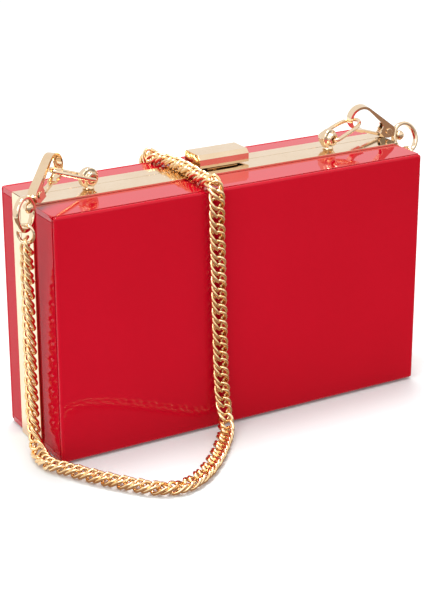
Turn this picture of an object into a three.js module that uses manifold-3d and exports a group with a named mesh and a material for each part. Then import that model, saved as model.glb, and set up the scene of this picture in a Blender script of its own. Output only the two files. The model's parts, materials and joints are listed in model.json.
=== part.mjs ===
// Clutch purse: a two-part acrylic box on a brass frame, with a lift latch, two ring posts, two
// snap hooks and a chain strap. Millimetres. x runs right, y back, z up. The origin is the middle
// of the closed purse's footprint, on the surface it stands on.
import * as THREE from "three";
import { mergeVertices } from "three/addons/utils/BufferGeometryUtils.js";
import Module from "manifold-3d";

const wasm = await Module();
wasm.setup();

// ---- driving dimensions ----
const WIDTH = 180; // acrylic box, left to right
const HEIGHT = 107.5; // acrylic box, bottom to top
const DEPTH = 52.5; // acrylic box, front to back
const SHEET = 2.5; // acrylic sheet thickness
const PARTING_Y = 4.6; // where the two halves meet
const GAP = 0.3; // between pieces that rest on each other
const PROUD = 0.9; // how far the frame stands out from the acrylic
const METAL = 1.2; // frame wall thickness
const FRONT_GOLD = 11.8; // frame seen on the front half, front to back
const BACK_GOLD = 8; // frame seen on the back half
const TONGUE = 4; // how far the frame's inner leg runs on under the acrylic

const HALF_W = WIDTH / 2;
const FRONT_Y = -DEPTH / 2;
const BACK_Y = DEPTH / 2;
const FRAME_TOP = HEIGHT + 2 * PROUD;
const FRAME_SIDE = HALF_W + PROUD;
const ACRYLIC_TOP = PROUD + HEIGHT;

const HINGE_Z = 1.7; // height of the lid's hinge axis
const HINGE_X = 55; // hinges left and right of the middle
const HINGE_HALF = 8; // half a hinge's length
const KNUCKLE_R = 1.5;
const KNUCKLE_LENGTH = 4.2;
const HINGE_PIN_R = 0.75;
const LEAF_REACH = 6.5;
const LEAF_THICK = 1;

const LATCH_X = 3; // the latch sits a little right of the middle
const LATCH_HALF = 12.2; // half the latch bar's length
const LATCH_FRONT_Y = -1.2;
const LATCH_BACK_Y = 12;
const LATCH_LIFT = 0.9; // between the frame and the bar
const LATCH_TALL = 6.5; // the bar's top above the frame
const LATCH_WALL = 1.3;
const LATCH_CHAMFER = 1.8;
const LATCH_PIN_Y = 9.4;
const LATCH_PIN_Z = FRAME_TOP + 2.2;
const LATCH_PIN_R = 0.6;

const POST_R = 4.3; // ring post's disc
const POST_HALF_DISC = 1.5;
const POST_BOSS_R = 2.2;
const POST_BOSS_END = 3.5;
const POST_RISE = 4.7; // the post's axis above the frame
const POST_Y = 0.6;
const WIRE_R = 0.9; // D-ring wire
const RING_REACH = 21; // from the post's axis to the far end of the D-ring
const RING_HALF = 5.3; // half the distance between the D-ring's two arms

const HOOK_STRIP = 4; // hook body, across the strip
const HOOK_WALL = 1.2;
const BIGHT_U = 20.5; // from the swivel hole to the centre of the hook's round end
const BIGHT_R = 6.1;
const BASE_U = 4.4;
const BASE_R = 3.2;
const SLOT_HALF = 1.25;
const GATE_HALF = 1.1;
const GATE_WALL = 1.2;
const GATE_TIP_U = 16.3;
const GATE_FOOT_U = 8.2;
const RIVET_R = 0.8;
const NECK_R = 0.95;

const EYE_R = 7.5; // round eye that the strap hangs from
const EYE_WALL = 1.7;
const EYE_HALF_BAND = 1.3;
const LINK_R = 3.8; // the link that joins the eye to the strap
const LINK_WIRE_R = 0.75;
const LINK_SEAT = 4.5; // from the eye's centre to the link's wire
const STRAP_R = 2.3; // half the strap's thickness

// Each side's ring post, D-ring and hook, as they lie.
const SIDES = {
  left: {
    postX: -61.6,
    postTurn: -10, // the post's axis, turned from straight back, in degrees
    toward: -1, // the D-ring lies to the left
    ringLift: 20, // the D-ring's slope, in degrees
    slide: -1.2, // where the hook sits along the D-ring's bight
    hookAxis: [0.707, 0.533, 0.466], // from the swivel to the hook's round end
    hookAcross: [-0.62, 0.78, -0.05],
    seat: [18.9, 0.1], // the D-ring's wire inside the hook
    eyeTurn: 0, // the eye's turn on its swivel, in degrees
  },
  right: {
    postX: 57.8,
    postTurn: -18,
    toward: 1,
    ringLift: 12.5,
    slide: -1.1,
    hookAxis: [-0.888, 0.05, 0.448],
    hookAcross: [-0.1, -0.98, -0.12],
    seat: [21.2, 1.3],
    eyeTurn: 30,
  },
};

// ---- solids ----
function solid(geometry) {
  const plain = new THREE.BufferGeometry();
  const source = geometry.index ? geometry.toNonIndexed() : geometry;
  plain.setAttribute("position", source.getAttribute("position"));
  const merged = mergeVertices(plain, 1e-4);
  return new wasm.Manifold(
    new wasm.Mesh({
      numProp: 3,
      vertProperties: merged.attributes.position.array,
      triVerts: new Uint32Array(merged.index.array),
    }),
  );
}

function surface(manifold) {
  const mesh = manifold.getMesh();
  const position = new Float32Array(mesh.numVert * 3);
  for (let i = 0; i < mesh.numVert; i++) {
    const start = i * mesh.numProp;
    position.set(mesh.vertProperties.subarray(start, start + 3), i * 3);
  }
  const indexed = new THREE.BufferGeometry();
  indexed.setAttribute("position", new THREE.BufferAttribute(position, 3));
  indexed.setIndex(new THREE.BufferAttribute(mesh.triVerts, 1));
  const flat = indexed.toNonIndexed();
  flat.computeVertexNormals();
  return flat;
}

function joined(...geometries) {
  const [first, ...rest] = geometries.map(solid);
  return surface(rest.reduce((sum, next) => sum.add(next), first));
}

function cut(geometry, ...cutters) {
  const start = solid(geometry);
  return surface(cutters.reduce((left, next) => left.subtract(solid(next)), start));
}

function box([x0, x1], [y0, y1], [z0, z1]) {
  const made = new THREE.BoxGeometry(x1 - x0, y1 - y0, z1 - z0);
  return made.translate((x0 + x1) / 2, (y0 + y1) / 2, (z0 + z1) / 2);
}

function rodX(radius, [x0, x1], y, z, sides = 20) {
  const made = new THREE.CylinderGeometry(radius, radius, x1 - x0, sides);
  return made.rotateZ(Math.PI / 2).translate((x0 + x1) / 2, y, z);
}

function rodY(radius, [y0, y1], x, z, sides = 20) {
  const made = new THREE.CylinderGeometry(radius, radius, y1 - y0, sides);
  return made.translate(x, (y0 + y1) / 2, z);
}

function rodZ(radius, [z0, z1], x, y, sides = 20) {
  const made = new THREE.CylinderGeometry(radius, radius, z1 - z0, sides);
  return made.rotateX(Math.PI / 2).translate(x, y, (z0 + z1) / 2);
}

function outline(points) {
  return new THREE.Shape(points.map(([a, b]) => new THREE.Vector2(a, b)));
}

// A flat outline in (y, z), drawn out along x.
function alongX(points, [x0, x1]) {
  const options = { depth: x1 - x0, bevelEnabled: false };
  const made = new THREE.ExtrudeGeometry(outline(points), options);
  const turn = new THREE.Matrix4().makeBasis(
    new THREE.Vector3(0, 1, 0),
    new THREE.Vector3(0, 0, 1),
    new THREE.Vector3(1, 0, 0),
  );
  return made.applyMatrix4(turn).translate(x0, 0, 0);
}

// A flat outline in (x, z), drawn out along y.
function alongY(points, [y0, y1]) {
  const options = { depth: y1 - y0, bevelEnabled: false };
  const made = new THREE.ExtrudeGeometry(outline(points), options);
  return made.rotateX(Math.PI / 2).translate(0, y1, 0);
}

function circlePoints(radius, sides, x = 0, z = 0) {
  const points = [];
  for (let i = 0; i < sides; i++) {
    const angle = (i / sides) * 2 * Math.PI;
    points.push([x + radius * Math.cos(angle), z + radius * Math.sin(angle)]);
  }
  return points;
}

function tube(points, radius, steps, sides = 8) {
  const places = points.map((p) => new THREE.Vector3(...p));
  const path = new THREE.CatmullRomCurve3(places, false, "centripetal");
  const options = { steps, extrudePath: path, bevelEnabled: false };
  return new THREE.ExtrudeGeometry(outline(circlePoints(radius, sides)), options);
}

function torus(radius, wire, turns = 24, sides = 8) {
  const ring = circlePoints(wire, sides).map(([a, b]) => new THREE.Vector2(radius + a, b));
  ring.push(ring[0].clone());
  return new THREE.LatheGeometry(ring, turns);
}

// The outline round a large and a small circle on the z axis.
function teardrop(farZ, farR, nearZ, nearR, steps = 16) {
  const lean = Math.asin((farR - nearR) / (farZ - nearZ));
  const half = Math.PI / 2 + lean;
  const points = [];
  for (let i = 0; i <= steps; i++) {
    const angle = half - (2 * half * i) / steps;
    points.push([farR * Math.sin(angle), farZ + farR * Math.cos(angle)]);
  }
  const rest = Math.PI - half;
  for (let i = 0; i <= steps / 2; i++) {
    const angle = -half - (2 * rest * i) / (steps / 2);
    points.push([nearR * Math.sin(angle), nearZ + nearR * Math.cos(angle)]);
  }
  return points.reverse();
}

// A closed solid between two flat rings of the same number of points.
function between(start, end) {
  const shape = start.plane.map(([a, b]) => new THREE.Vector2(a, b));
  const turning = Math.sign(THREE.ShapeUtils.area(shape));
  const caps = THREE.ShapeUtils.triangulateShape(shape, []).map(([a, b, c]) => {
    const area = THREE.ShapeUtils.area([shape[a], shape[b], shape[c]]);
    return area * turning > 0 ? [a, b, c] : [a, c, b];
  });
  const points = [...start.places, ...end.places];
  const count = start.places.length;
  const faces = [];
  for (const [a, b, c] of caps) faces.push([a, b, c], [count + a, count + c, count + b]);
  for (let i = 0; i < count; i++) {
    const next = (i + 1) % count;
    faces.push([i, count + next, next], [i, count + i, count + next]);
  }
  const position = faces.flat().flatMap((i) => points[i]);
  const made = new THREE.BufferGeometry();
  made.setAttribute("position", new THREE.Float32BufferAttribute(position, 3));
  if (solid(made).volume() > 0) return made;
  const turned = faces.map(([a, b, c]) => [a, c, b]).flat().flatMap((i) => points[i]);
  made.setAttribute("position", new THREE.Float32BufferAttribute(turned, 3));
  return made;
}

// ---- finishes and nodes ----
const FINISH = {
  red: { color: 0xc8122a, roughness: 0.08, metalness: 0 },
  gold: { color: 0xe3b267, roughness: 0.15, metalness: 1 },
  tie: { color: 0xf0ece4, roughness: 0.8, metalness: 0 },
};

const purse = new THREE.Group();
purse.name = "clutch_purse";

function group(name, parent = purse) {
  const made = new THREE.Group();
  made.name = name;
  parent.add(made);
  return made;
}

function piece(name, finish, geometry, parent) {
  const mesh = new THREE.Mesh(geometry, new THREE.MeshStandardMaterial(FINISH[finish]));
  mesh.name = name;
  parent.add(mesh);
}

// ---- the two halves: five acrylic sheets on a frame of four mitred rails ----
const hingeAxisWedge = alongX(
  [
    [PARTING_Y - 2.4, -1],
    [PARTING_Y + 2.4, -1],
    [PARTING_Y, HINGE_Z + 0.3],
  ],
  [-FRAME_SIDE - 1, FRAME_SIDE + 1],
);

function railProfile(visible) {
  const web = GAP / 2;
  const inner = PROUD + SHEET + GAP;
  const tongue = visible + TONGUE;
  return [
    [0, web],
    [0, visible],
    [METAL, visible],
    [METAL, web + METAL],
    [inner, web + METAL],
    [inner, tongue],
    [inner + METAL, tongue],
    [inner + METAL, web],
  ];
}

// Turns how far in from the frame's outside, and how far along the rail, into a place.
const RAIL_PLACES = {
  top: (along, inward) => [along, FRAME_TOP - inward],
  bottom: (along, inward) => [along, inward],
  left: (along, inward) => [-FRAME_SIDE + inward, FRAME_TOP / 2 + along],
  right: (along, inward) => [FRAME_SIDE - inward, FRAME_TOP / 2 + along],
};

function rail(edge, visible, facing) {
  const profile = railProfile(visible);
  const upright = edge === "left" || edge === "right";
  const half = upright ? FRAME_TOP / 2 : FRAME_SIDE;
  const end = (sign) => ({
    plane: profile,
    places: profile.map(([inward, away]) => {
      const along = sign * (half - inward - GAP / 2);
      const [x, z] = RAIL_PLACES[edge](along, inward);
      return [x, PARTING_Y + facing * away, z];
    }),
  });
  return between(end(-1), end(1));
}

function hingeNotches(facing) {
  return [-1, 1].map((side) => {
    const reach = PARTING_Y + facing * (LEAF_REACH + 0.5);
    const x = side * HINGE_X;
    const ys = [Math.min(PARTING_Y - facing, reach), Math.max(PARTING_Y - facing, reach)];
    return box([x - HINGE_HALF - GAP, x + HINGE_HALF + GAP], ys, [-1, HINGE_Z + KNUCKLE_R + GAP]);
  });
}

function half(name, visible, facing, faceY, parent) {
  for (const edge of ["top", "bottom", "left", "right"]) {
    const cutters = edge === "top" ? [] : [hingeAxisWedge];
    if (edge === "bottom") cutters.push(...hingeNotches(facing));
    const blank = rail(edge, visible, facing);
    const made = cutters.length ? cut(blank, ...cutters) : blank;
    piece(`${name}_rail_${edge}`, "gold", made, parent);
  }
  const insideFace = faceY - facing * SHEET;
  const nearFrame = PARTING_Y + facing * (visible + GAP);
  const wallYs = [nearFrame, insideFace - facing * GAP].sort((a, b) => a - b);
  const faceYs = [faceY, insideFace].sort((a, b) => a - b);
  const across = [-HALF_W, HALF_W];
  const between = [PROUD + SHEET + GAP, ACRYLIC_TOP - SHEET - GAP];
  piece(`${name}_panel`, "red", box(across, faceYs, [PROUD, ACRYLIC_TOP]), parent);
  const top = box(across, wallYs, [ACRYLIC_TOP - SHEET, ACRYLIC_TOP]);
  piece(`${name}_wall_top`, "red", top, parent);
  piece(`${name}_wall_bottom`, "red", box(across, wallYs, [PROUD, PROUD + SHEET]), parent);
  piece(`${name}_wall_left`, "red", box([-HALF_W, SHEET - HALF_W], wallYs, between), parent);
  piece(`${name}_wall_right`, "red", box([HALF_W - SHEET, HALF_W], wallYs, between), parent);
}

const frontHalf = group("front_half");
const backHalf = group("back_half");
half("front", FRONT_GOLD, -1, FRONT_Y, frontHalf);
half("back", BACK_GOLD, 1, BACK_Y, backHalf);

// ---- hinges ----
function leaf(x, facing, knuckles) {
  const bore = rodX(HINGE_PIN_R + 0.06, [x - HINGE_HALF - 1, x + HINGE_HALF + 1], PARTING_Y, HINGE_Z);
  const low = HINGE_Z - KNUCKLE_R;
  const plateFrom = PARTING_Y + facing * (KNUCKLE_R + 2 * GAP);
  const plateTo = PARTING_Y + facing * LEAF_REACH;
  const plateYs = [plateFrom, plateTo].sort((a, b) => a - b);
  const pieces = [box([x - HINGE_HALF, x + HINGE_HALF], plateYs, [low, low + LEAF_THICK])];
  for (const [x0, x1] of knuckles) {
    const arm = [PARTING_Y, PARTING_Y + facing * (KNUCKLE_R + 3 * GAP)].sort((a, b) => a - b);
    pieces.push(rodX(KNUCKLE_R, [x + x0, x + x1], PARTING_Y, HINGE_Z));
    pieces.push(box([x + x0, x + x1], arm, [low, low + LEAF_THICK]));
  }
  return cut(joined(...pieces), bore);
}

for (const [side, x] of [["left", -HINGE_X], ["right", HINGE_X]]) {
  const inner = HINGE_HALF - KNUCKLE_LENGTH;
  const outer = [
    [-HINGE_HALF, -inner],
    [inner, HINGE_HALF],
  ];
  const middle = [[GAP - inner, inner - GAP]];
  piece(`hinge_${side}_front_leaf`, "gold", leaf(x, -1, outer), frontHalf);
  piece(`hinge_${side}_back_leaf`, "gold", leaf(x, 1, middle), backHalf);
  const pinXs = [x - HINGE_HALF, x + HINGE_HALF];
  piece(`hinge_${side}_pin`, "gold", rodX(HINGE_PIN_R, pinXs, PARTING_Y, HINGE_Z), frontHalf);
}

// ---- latch ----
const latch = group("latch", backHalf);
const barBottom = FRAME_TOP + LATCH_LIFT;
const barTop = FRAME_TOP + LATCH_TALL;
const barXs = [LATCH_X - LATCH_HALF, LATCH_X + LATCH_HALF];
const pocketXs = [barXs[0] + LATCH_WALL, barXs[1] - LATCH_WALL];
const barOutline = [
  [LATCH_FRONT_Y, barBottom],
  [LATCH_BACK_Y - 1, barBottom + 0.6],
  [LATCH_BACK_Y, barBottom + 1],
  [LATCH_BACK_Y, barTop - 1],
  [LATCH_BACK_Y - 1, barTop],
  [LATCH_FRONT_Y + LATCH_CHAMFER, barTop],
  [LATCH_FRONT_Y, barTop - LATCH_CHAMFER],
];
const pocketYs = [LATCH_FRONT_Y + LATCH_WALL, LATCH_BACK_Y - LATCH_WALL];
const latchPinXs = [barXs[0] + 0.3, barXs[1] - 0.3];
const bar = cut(
  alongX(barOutline, barXs),
  box(pocketXs, pocketYs, [barBottom - 1, barTop - LATCH_WALL]),
  rodX(LATCH_PIN_R + 0.05, latchPinXs, LATCH_PIN_Y, LATCH_PIN_Z),
);
piece("latch_bar", "gold", bar, latch);
piece("latch_pin", "gold", rodX(LATCH_PIN_R, latchPinXs, LATCH_PIN_Y, LATCH_PIN_Z), latch);

const EAR_R = 1.2;
const EAR_X = 7.5;
const EAR_HALF = 1;
const EAR_BACK_Y = LATCH_PIN_Y + 0.3; // short of the bar's back wall, which swings down past it
const baseYs = [PARTING_Y + 0.8, EAR_BACK_Y];
const baseLow = FRAME_TOP + GAP / 3;
const ears = [-1, 1].flatMap((sign) => {
  const xs = [LATCH_X + sign * EAR_X - EAR_HALF, LATCH_X + sign * EAR_X + EAR_HALF];
  const ys = [LATCH_PIN_Y - EAR_R, EAR_BACK_Y];
  return [rodX(EAR_R, xs, LATCH_PIN_Y, LATCH_PIN_Z), box(xs, ys, [baseLow, LATCH_PIN_Z])];
});
const base = cut(
  joined(box([pocketXs[0] + 0.4, pocketXs[1] - 0.4], baseYs, [baseLow, baseLow + 0.7]), ...ears),
  rodX(LATCH_PIN_R + 0.05, latchPinXs, LATCH_PIN_Y, LATCH_PIN_Z),
);
piece("latch_base", "gold", base, backHalf);
const strikerYs = [LATCH_FRONT_Y + LATCH_WALL + 0.6, PARTING_Y - 0.5];
const striker = box([LATCH_X - EAR_X, LATCH_X + EAR_X], strikerYs, [baseLow, baseLow + 0.5]);
piece("latch_striker", "gold", striker, frontHalf);

// ---- ring posts, D-rings, snap hooks and eyes ----
function frameOf(origin, xAxis, yAxis, zAxis) {
  const made = new THREE.Matrix4().makeBasis(xAxis, yAxis, zAxis);
  return made.setPosition(origin);
}

function place(target, matrix) {
  matrix.decompose(target.position, target.quaternion, target.scale);
}

// The post's own axes: y along its bore toward the back, x level toward the D-ring's far end.
function postShape() {
  const disc = rodY(POST_R, [-POST_HALF_DISC, POST_HALF_DISC], 0, 0, 32);
  const boss = rodY(POST_BOSS_R, [-POST_BOSS_END, POST_BOSS_END], 0, 0, 24);
  const foot = rodZ(2, [GAP / 3 - POST_RISE, 1 - POST_R], 0, 0, 20);
  const wireBore = WIRE_R + 0.06;
  const bores = [-1, 1].map((sign) => {
    const ys = sign > 0 ? [2.2, POST_BOSS_END + 1] : [-POST_BOSS_END - 1, -2.2];
    return rodY(wireBore, ys, 0, 0);
  });
  return cut(joined(disc, boss, foot), ...bores);
}

// The D-ring's own axes: y along the post's bore, x out to its far end.
function ringShape() {
  const half = [
    [2.5, 0],
    [4.3, 0],
    [RING_HALF - 0.2, 0.5],
    [RING_HALF, 1.8],
    [RING_HALF, 6],
    [RING_HALF - 0.1, RING_REACH - 8],
    [RING_HALF - 1.3, RING_REACH - 3.2],
    [RING_HALF - 3.3, RING_REACH - 0.7],
  ];
  const back = half.map(([y, x]) => [x, y, 0]);
  const front = half.map(([y, x]) => [x, -y, 0]).reverse();
  return tube([...back, [RING_REACH, 0, 0], ...front], WIRE_R, 52);
}

// The hook's own axes: z from the swivel to the round end, x to the gate, y across the strip.
function gateLine(z) {
  const lean = Math.asin((BIGHT_R - BASE_R) / (BIGHT_U - BASE_U));
  return BASE_R / Math.cos(lean) + (z - BASE_U) * Math.tan(lean);
}

function hookShape() {
  const across = [-HOOK_STRIP / 2, HOOK_STRIP / 2];
  const inside = teardrop(BIGHT_U, BIGHT_R - HOOK_WALL, BIGHT_U - 10.4, 2);
  const loop = alongY(teardrop(BIGHT_U, BIGHT_R, BASE_U, BASE_R), across);
  const collar = rodZ(2.1, [EYE_WALL / 2 + GAP, 2.4], 0, 0);
  return cut(
    joined(loop, collar),
    alongY(inside, [-HOOK_STRIP, HOOK_STRIP]),
    box([1.2, 12], [-HOOK_STRIP, HOOK_STRIP], [GATE_FOOT_U - GAP, GATE_TIP_U + 2 * GAP]),
    box([-2, 12], [-SLOT_HALF, SLOT_HALF], [2.4, GATE_FOOT_U + 1]),
    rodY(RIVET_R + 0.06, [-HOOK_STRIP, HOOK_STRIP], 0, BASE_U),
    rodZ(NECK_R + 0.1, [-1, 3], 0, 0),
  );
}

function gateShape() {
  const across = [-GATE_HALF, GATE_HALF];
  const [footX, tipX] = [gateLine(GATE_FOOT_U), gateLine(GATE_TIP_U)];
  const arm = [
    [0.4, BASE_U - 1.3],
    [footX - 0.1, GATE_FOOT_U - 0.6],
    [tipX - 0.1, GATE_TIP_U],
    [tipX - 0.1 - GATE_WALL, GATE_TIP_U],
    [footX - 0.1 - GATE_WALL, GATE_FOOT_U],
    [-0.6, BASE_U + 1.3],
  ];
  const knob = rodY(1.6, across, 0, BASE_U);
  return cut(joined(alongY(arm, across), knob), rodY(RIVET_R + 0.06, [-2, 2], 0, BASE_U));
}

function rivetShape() {
  const reach = HOOK_STRIP / 2 + 0.1;
  const heads = [rodY(1.5, [reach, reach + 0.5], 0, BASE_U), rodY(1.5, [-reach - 0.5, -reach], 0, BASE_U)];
  return joined(rodY(RIVET_R, [-reach - 0.4, reach + 0.4], 0, BASE_U), ...heads);
}

function studShape() {
  const ball = [];
  const ballZ = -3.2;
  const ballR = 2.3;
  const first = Math.asin(NECK_R / ballR);
  for (let i = 0; i <= 10; i++) {
    const angle = Math.PI - (i / 10) * (Math.PI - first);
    ball.push(new THREE.Vector2(ballR * Math.sin(angle), ballZ + ballR * Math.cos(angle)));
  }
  ball[0].x = 0;
  const neck = [new THREE.Vector2(NECK_R, 2.2), new THREE.Vector2(0, 2.2)];
  return new THREE.LatheGeometry([...ball, ...neck], 20).rotateX(Math.PI / 2);
}

// The eye's own axes: z from its centre to the swivel hole, y across the band.
function eyeShape() {
  const band = [-EYE_HALF_BAND, EYE_HALF_BAND];
  const loop = alongY(circlePoints(EYE_R, 32), band);
  const inside = alongY(circlePoints(EYE_R - EYE_WALL, 32), [-EYE_R, EYE_R]);
  return cut(loop, inside, rodZ(1.3, [EYE_R - EYE_WALL - 1, EYE_R + 1], 0, 0));
}

const strapTops = {};
for (const [side, spec] of Object.entries(SIDES)) {
  const turn = THREE.MathUtils.degToRad(spec.postTurn);
  const bore = new THREE.Vector3(Math.sin(turn), Math.cos(turn), 0);
  const up = new THREE.Vector3(0, 0, 1);
  const out = new THREE.Vector3().crossVectors(bore, up);
  const centre = new THREE.Vector3(spec.postX, POST_Y, FRAME_TOP + POST_RISE);
  const post = group(`post_${side}`, frontHalf);
  place(post, frameOf(centre, out, bore, up));
  piece(`ring_post_${side}`, "gold", postShape(), post);

  const lift = THREE.MathUtils.degToRad(spec.ringLift);
  const reach = out.clone().multiplyScalar(spec.toward * Math.cos(lift)).addScaledVector(up, Math.sin(lift));
  const ringUp = new THREE.Vector3().crossVectors(reach, bore);
  const ring = group(`ring_${side}`);
  place(ring, frameOf(centre, reach, bore, ringUp));
  piece(`d_ring_${side}`, "gold", ringShape(), ring);

  // The hook hangs on the D-ring's bight; sliding along it draws the seat in a little.
  const drawnIn = RING_HALF - Math.sqrt(RING_HALF ** 2 - spec.slide ** 2);
  const seatPoint = centre.clone().addScaledVector(reach, RING_REACH - drawnIn).addScaledVector(bore, spec.slide);
  const axis = new THREE.Vector3(...spec.hookAxis).normalize();
  const across = new THREE.Vector3(...spec.hookAcross);
  across.addScaledVector(axis, -across.dot(axis)).normalize();
  const gateSide = new THREE.Vector3().crossVectors(across, axis);
  const swivel = seatPoint.clone().addScaledVector(axis, -spec.seat[0]).addScaledVector(gateSide, -spec.seat[1]);
  const hook = group(`hook_${side}`);
  place(hook, frameOf(swivel, gateSide, across, axis));
  piece(`hook_body_${side}`, "gold", hookShape(), hook);
  piece(`gate_rivet_${side}`, "gold", rivetShape(), hook);
  piece(`swivel_stud_${side}`, "gold", studShape(), hook);
  const gate = group(`gate_${side}`, hook);
  piece(`gate_bar_${side}`, "gold", gateShape(), gate);

  const eyeCentre = swivel.clone().addScaledVector(axis, EYE_WALL / 2 - EYE_R);
  const eye = group(`eye_${side}`);
  const loop = group(`eye_loop_${side}`, eye);
  const eyeAcross = across.clone().applyAxisAngle(axis, THREE.MathUtils.degToRad(spec.eyeTurn));
  const eyeSide = new THREE.Vector3().crossVectors(eyeAcross, axis);
  place(loop, frameOf(eyeCentre, eyeSide, eyeAcross, axis));
  piece(`strap_eye_${side}`, "gold", eyeShape(), loop);

  // The end link hangs from the lowest point inside the eye.
  const down = new THREE.Vector3(0, 0, -1);
  down.addScaledVector(eyeAcross, -down.dot(eyeAcross)).normalize();
  const wirePoint = eyeCentre.clone().addScaledVector(down, LINK_SEAT);
  const hang = down.clone().multiplyScalar(-1).add(up).normalize();
  const linkNormal = new THREE.Vector3().crossVectors(eyeAcross, hang).normalize();
  const linkSide = new THREE.Vector3().crossVectors(linkNormal, hang);
  const link = group(`link_${side}`, eye);
  place(link, frameOf(wirePoint.clone().addScaledVector(hang, -LINK_R), linkSide, linkNormal, hang));
  piece(`end_link_${side}`, "gold", torus(LINK_R, LINK_WIRE_R), link);
  const strapTop = wirePoint.clone().addScaledVector(hang, -2 * LINK_R - LINK_WIRE_R - 2 * GAP);
  strapTops[side] = strapTop.toArray();
}

// ---- chain strap ----
const strap = group("strap");
const FLOOR = STRAP_R + GAP;
const FACE_GAP = STRAP_R + GAP;
const frontRunY = FRONT_Y - FACE_GAP;
const backRunY = BACK_Y + FACE_GAP;
const leftHigh = [-96.6, -12.6, 76];
const leftLow = [-95.8, -10.3, 50];
const leftFoot = [-95.2, -9, 16];
const overTop = [-16, 1.5, FRAME_TOP + FACE_GAP];
const RIGHT_X = 101.5;
const RIGHT_Y = 7;
const rightHigh = [RIGHT_X, RIGHT_Y, 74];
const rightLow = [RIGHT_X, RIGHT_Y, 48];
const rightFoot = [RIGHT_X, 12, 12];

function strapPiece(name, points, steps) {
  piece(name, "gold", tube(points, STRAP_R, steps), strap);
}

function straight(name, from, to, steps) {
  strapPiece(name, [from, to], steps);
}

// The end of the next piece, just clear of this one's end.
const above = ([x, y, z]) => [x, y, z + 0.7];
const below = ([x, y, z]) => [x, y, z - 0.7];

straight("strap_left_top", strapTops.left, above(leftHigh), 3);
straight("strap_left_upper", leftHigh, above(leftLow), 3);
straight("strap_left_lower", leftLow, leftFoot, 4);

const frontLoop = [
  [-95.2, -9, 15.2],
  [-95.2, -9.6, 10.5],
  [-95.3, -11.2, 6],
  [-95.8, -15.5, FLOOR + 0.5],
  [-96.4, -21.5, FLOOR],
  [-95.6, -27.5, FLOOR],
  [-92.6, -33, FLOOR],
  [-84, -47.7, FLOOR],
  [-75, -60.3, FLOOR],
  [-67.5, -68.5, FLOOR],
  [-58.5, -71.8, FLOOR],
  [-48, -68, FLOOR],
  [-36.5, -59, FLOOR],
  [-24.5, -46, FLOOR],
  [-17, -36.5, FLOOR + 1.6],
  [-14.8, frontRunY - 2.4, 9],
  [-15.2, frontRunY - 0.9, 20],
  [-15.8, frontRunY - 0.5, 40],
  [-16.6, frontRunY - 0.5, 70],
  [-17.4, frontRunY - 0.5, 98],
  [-17.5, frontRunY - 0.6, ACRYLIC_TOP - 2.5],
  [-17.4, frontRunY + 0.8, ACRYLIC_TOP + 2],
  [-17.2, FRONT_Y + 1.6, ACRYLIC_TOP + FACE_GAP + 0.9],
  [-16.6, -14, ACRYLIC_TOP + FACE_GAP + 0.6],
  overTop,
];
strapPiece("strap_front", frontLoop, 50);

strapPiece(
  "strap_back_upper",
  [
    [-16, 2.1, FRAME_TOP + FACE_GAP],
    [-16.4, 13, FRAME_TOP + FACE_GAP],
    [-17.4, 21, ACRYLIC_TOP + FACE_GAP + 0.6],
    [-18, 26, ACRYLIC_TOP + FACE_GAP + 0.5],
    [-18.4, backRunY + 0.1, ACRYLIC_TOP + 1.8],
    [-18.6, backRunY + 1.1, ACRYLIC_TOP - 3],
    [-18.8, backRunY + 1.1, 92],
    [-18.9, backRunY + 1, 60.4],
  ],
  14,
);
strapPiece(
  "strap_back_lower",
  [
    [-18.9, backRunY + 1, 59.8],
    [-19, backRunY + 0.8, 20],
    [-18.8, backRunY + 3, 9],
    [-18.4, backRunY + 8, FLOOR + 0.8],
    [-18, 44, FLOOR],
  ],
  10,
);

// The rest of the strap lies behind the purse as an oval coil, its second turn on its first.
const COIL_NEAR_Y = 67;
const COIL_FAR_Y = 107;
const COIL_LEFT_X = 15;
const COIL_RIGHT_X = 70;
const coilR = (COIL_FAR_Y - COIL_NEAR_Y) / 2;
const coilY = (COIL_FAR_Y + COIL_NEAR_Y) / 2;
const SECOND_LAYER = FLOOR + 2 * STRAP_R + GAP;

function turnRound(centreX, fromAngle, toAngle, z, count = 6) {
  const points = [];
  for (let i = 0; i <= count; i++) {
    const angle = fromAngle + ((toAngle - fromAngle) * i) / count;
    points.push([centreX + coilR * Math.cos(angle), coilY + coilR * Math.sin(angle), z]);
  }
  return points;
}

const QUARTER = Math.PI / 2;
const coil = [
  [-17.8, 44.6, FLOOR],
  [-14, 56, FLOOR],
  [-4, COIL_NEAR_Y - 2.5, FLOOR],
  [8, COIL_NEAR_Y, FLOOR],
  ...turnRound(COIL_RIGHT_X, -QUARTER, QUARTER, FLOOR),
  ...turnRound(COIL_LEFT_X, QUARTER, 2 * QUARTER, FLOOR, 3),
  ...turnRound(COIL_LEFT_X, 2.4 * QUARTER, 3 * QUARTER, SECOND_LAYER, 2),
  [40, COIL_NEAR_Y, SECOND_LAYER],
  [66, COIL_NEAR_Y, SECOND_LAYER],
  [80, COIL_NEAR_Y - 6, FLOOR + 0.6],
  [96, 52, FLOOR],
  [103.2, 39, FLOOR],
  [103.2, 25, FLOOR + 0.8],
  [102.3, 17, 5.5],
  rightFoot,
];
strapPiece("strap_coil", coil, 60);
strapPiece("strap_right_lower", [[RIGHT_X, 11.5, 13], [RIGHT_X, RIGHT_Y, 32], below(rightLow)], 4);
straight("strap_right_upper", rightLow, below(rightHigh), 3);
straight("strap_right_top", rightHigh, strapTops.right, 3);

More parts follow.
